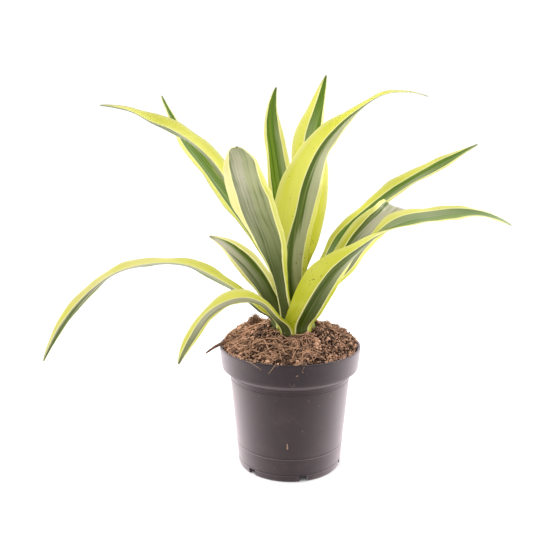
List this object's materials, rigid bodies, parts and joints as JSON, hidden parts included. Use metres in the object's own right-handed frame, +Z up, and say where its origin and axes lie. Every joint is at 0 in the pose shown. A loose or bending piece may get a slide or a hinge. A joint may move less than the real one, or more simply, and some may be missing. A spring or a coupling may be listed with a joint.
{
  "type": "potted dracaena plant",
  "caption": "Striped upright foliage plant: long arching strap leaves with pale margins rise from a short cane in a round tapered nursery pot of soil.",
  "frame": {"origin": "centre of the pot's foot on the floor", "axes": "+X to the right along the widest spread of the leaves, +Y away from the viewer, +Z up"},
  "size_m": [0.3888, 0.3002, 0.3313],
  "materials": {
    "pot_plastic": "satin dark taupe",
    "peat_soil": "rough brown peat and coir",
    "cane_bark": "rough pale green bark",
    "leaf_blade": "satin, striped lime and green"
  },
  "bodies": {
    "root": {"pot": "pot_plastic", "soil": "peat_soil", "stem": "cane_bark", "leaf_a": "leaf_blade", "leaf_b": "leaf_blade", "leaf_c": "leaf_blade", "leaf_d": "leaf_blade", "leaf_e": "leaf_blade", "leaf_f": "leaf_blade", "leaf_g": "leaf_blade", "leaf_h": "leaf_blade", "leaf_i": "leaf_blade", "leaf_l": "leaf_blade", "leaf_m": "leaf_blade", "leaf_n": "leaf_blade", "leaf_back": "leaf_blade", "leaf_spear": "leaf_blade"}
  },
  "joints": []
}
